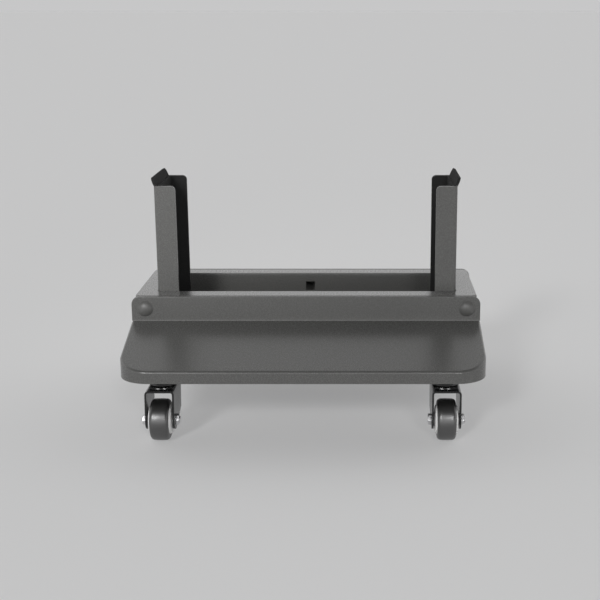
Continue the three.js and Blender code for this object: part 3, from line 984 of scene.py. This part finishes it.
class STAND_OT_wheels(Operator):
    """Mould the tyres, with a crowned tread, and the hubs, which bulge towards the boss"""

    bl_idname = "stand.wheels"
    bl_label = "Wheels"

    def execute(self, context):
        sizes = context.scene.stand_casters
        for corner in CORNERS:
            node = f"tyre_{corner}"
            low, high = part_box(node)
            centre = middle(node)
            radius = (high.z - low.z) / 2
            bore = radius - sizes.tyre_depth
            half = (high.x - low.x) / 2
            tread = [(radius - sizes.crown * place ** 2, centre.x + half * place) for place in TREAD_SHARES]
            bm = lathe([(bore, low.x), *tread, (bore, high.x)], "X", (0, centre.y, centre.z), 72)
            shoulders = edges_where(sharp_edges(bm), lambda co: (co - centre).yz.length > bore + MM)
            bevel(bm, shoulders, sizes.shoulder, 7)
            add_piece(bm, f"moulded_{node}", tyre_rubber, [node], f"wheel_{corner}")
        for corner in CORNERS:
            node = f"hub_{corner}"
            low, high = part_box(node)
            tyre_low, tyre_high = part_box(f"tyre_{corner}")
            centre = middle(node)
            outer = (high.z - low.z) / 2
            half = (tyre_high.x - tyre_low.x) / 2
            boss = (high.x - low.x) / 2
            bore = sizes.axle_radius + FIT
            right = [(outer, half), (outer - sizes.hub_shoulder, half + sizes.hub_rise),
                     (sizes.boss_radius, half + sizes.boss_rise), (sizes.boss_radius, boss), (bore, boss)]
            left = [(radius, -along) for radius, along in reversed(right)]
            bm = lathe([*left, *right], "X", (centre.x, centre.y, centre.z), 64)
            soften(bm, HUB_EDGE, 3, 20)
            add_piece(bm, f"moulded_{node}", white_plastic, [node], f"wheel_{corner}")
        return {"FINISHED"}


# Studio

def background_rays(tree):
    """1 for the rays that see the background: the camera's, reflections and rays through glass."""
    rays = add_node(tree, "ShaderNodeLightPath").outputs
    seen = worked_out(tree, "MAXIMUM", rays["Is Camera Ray"], rays["Is Glossy Ray"])
    return worked_out(tree, "MAXIMUM", seen, rays["Is Transmission Ray"])


def floor_finish(studio):
    """A white floor that shows in the background's pale grey and keeps a soft shade under the stand."""
    material = bpy.data.materials.new("studio_floor")
    tree = bare_tree(material)
    seen = background_rays(tree)
    colours = {0: seen, 6: (*studio.floor, 1.0), 7: (*studio.floor_seen, 1.0)}
    tint = add_node(tree, "ShaderNodeMix", colours, data_type="RGBA")
    shaded = add_node(tree, "ShaderNodeBsdfDiffuse", {"Color": tint.outputs[2]})
    part = worked_out(tree, "MULTIPLY", seen, studio.floor_glow)
    glow = add_node(tree, "ShaderNodeEmission", {"Color": (*studio.background, 1.0), "Strength": part})
    both = add_node(tree, "ShaderNodeAddShader", {0: shaded.outputs["BSDF"], 1: glow.outputs["Emission"]})
    add_node(tree, "ShaderNodeOutputMaterial", {"Surface": both.outputs["Shader"]})
    return material


def studio_world(studio):
    """A pale surround that is brightest low down, like lit walls, and dark overhead."""
    world = bpy.data.worlds.new("studio")
    tree = bare_tree(world)
    way = add_node(tree, "ShaderNodeTexCoord").outputs["Generated"]
    parts = add_node(tree, "ShaderNodeSeparateXYZ", {"Vector": way}).outputs
    walls = []
    for levels in (FRONT_WALL, REAR_WALL):
        ramp = add_node(tree, "ShaderNodeValToRGB", {"Fac": parts["Z"]})
        first, last = ramp.color_ramp.elements
        first.position, first.color = 0.01, (*studio.background, 1.0)
        last.position, last.color = 1.0, (*studio.ceiling, 1.0)
        for place, level in levels:
            ramp.color_ramp.elements.new(place).color = (level, level, level, 1.0)
        walls.append(ramp.outputs["Color"])
    rear = add_node(tree, "ShaderNodeMapRange", {"Value": parts["Y"], "From Min": -0.3, "From Max": 0.3})
    light = add_node(tree, "ShaderNodeMix", {0: rear.outputs["Result"], 6: walls[0], 7: walls[1]},
                     data_type="RGBA")
    light = add_node(tree, "ShaderNodeBackground", {"Color": light.outputs[2], "Strength": 1.0})
    add_node(tree, "ShaderNodeOutputWorld", {"Surface": light.outputs["Background"]})
    return world


def add_lamp(name, kind, place, target=(0, 0, 0), **settings):
    """A soft lamp at a place that shines towards a target."""
    lamp = bpy.data.lights.new(name, kind)
    for key, value in settings.items():
        setattr(lamp, key, value)
    holder = add_object(name, lamp)
    aim = (Vector(target) - Vector(place)).to_track_quat("-Z", "Y")
    holder.matrix_world = Matrix.Translation(place) @ aim.to_matrix().to_4x4()
    return holder


class STAND_OT_studio(Operator):
    """Set up the camera, the pale floor and the soft lamps"""

    bl_idname = "stand.studio"
    bl_label = "Studio"

    def execute(self, context):
        scene = context.scene
        studio = scene.stand_studio
        camera = bpy.data.cameras.new("camera")
        camera.sensor_width = 36.0
        camera.lens = studio.camera_lens
        camera.shift_x = studio.camera_shift
        holder = add_object("camera", camera)
        holder.location = studio.camera_place
        holder.rotation_euler = (math.pi / 2 - studio.camera_pitch, 0, 0)
        scene.camera = holder
        scene.view_settings.view_transform = "Standard"
        bm = bmesh.new()
        bmesh.ops.create_grid(bm, x_segments=1, y_segments=1, size=200.0)
        mesh = bpy.data.meshes.new("studio_floor")
        bm.to_mesh(mesh)
        bm.free()
        mesh.materials.append(floor_finish(studio))
        add_object("studio_floor", mesh)
        scene.world = studio_world(studio)
        add_lamp("left_lamp", "SUN", (-0.40, -1.0, 0.525), energy=0.76, angle=math.radians(10))
        add_lamp("right_lamp", "SUN", (0.23, -1.0, 0.50), energy=0.46, angle=math.radians(10))
        near_lamp = add_lamp("near_lamp", "AREA", (-0.40, -0.72, 0.50), (-0.17, -0.04, 0.25), size=0.25,
                             energy=0.12, spread=math.radians(36))
        near_lamp.visible_camera = False
        return {"FINISHED"}


OPERATORS = (
    STAND_OT_studio,
    STAND_OT_base_shell,
    STAND_OT_deck_frame,
    STAND_OT_bars,
    STAND_OT_uprights,
    STAND_OT_foam,
    STAND_OT_caster_mounts,
    STAND_OT_forks,
    STAND_OT_axles,
    STAND_OT_wheels,
)
GROUPS = {
    "stand_base": StandBaseSizes,
    "stand_uprights": StandUprightSizes,
    "stand_casters": StandCasterSizes,
    "stand_finishes": StandFinishes,
    "stand_studio": StandStudio,
}


class STAND_PT_sidebar(Panel):
    """The stand's pieces and sizes, in the sidebar of the 3D view"""

    bl_idname = "STAND_PT_sidebar"
    bl_label = "Roller Stand"
    bl_space_type = "VIEW_3D"
    bl_region_type = "UI"
    bl_category = "Stand"

    def draw(self, context):
        layout = self.layout
        for operator in OPERATORS:
            layout.operator(operator.bl_idname)
        for group in GROUPS:
            box = layout.box()
            settings = getattr(context.scene, group)
            for name in settings.__annotations__:
                box.prop(settings, name, text=name.replace("_", " ").capitalize())


def register():
    for group, kind in GROUPS.items():
        bpy.utils.register_class(kind)
        setattr(bpy.types.Scene, group, PointerProperty(type=kind))
    for operator in OPERATORS:
        bpy.utils.register_class(operator)
    bpy.utils.register_class(STAND_PT_sidebar)


def unregister():
    bpy.utils.unregister_class(STAND_PT_sidebar)
    for operator in reversed(OPERATORS):
        bpy.utils.unregister_class(operator)
    for group, kind in reversed(GROUPS.items()):
        delattr(bpy.types.Scene, group)
        bpy.utils.unregister_class(kind)


def main():
    register()
    for operator in OPERATORS:
        family, action = operator.bl_idname.split(".")
        getattr(getattr(bpy.ops, family), action)()


if __name__ == "__main__":
    main()
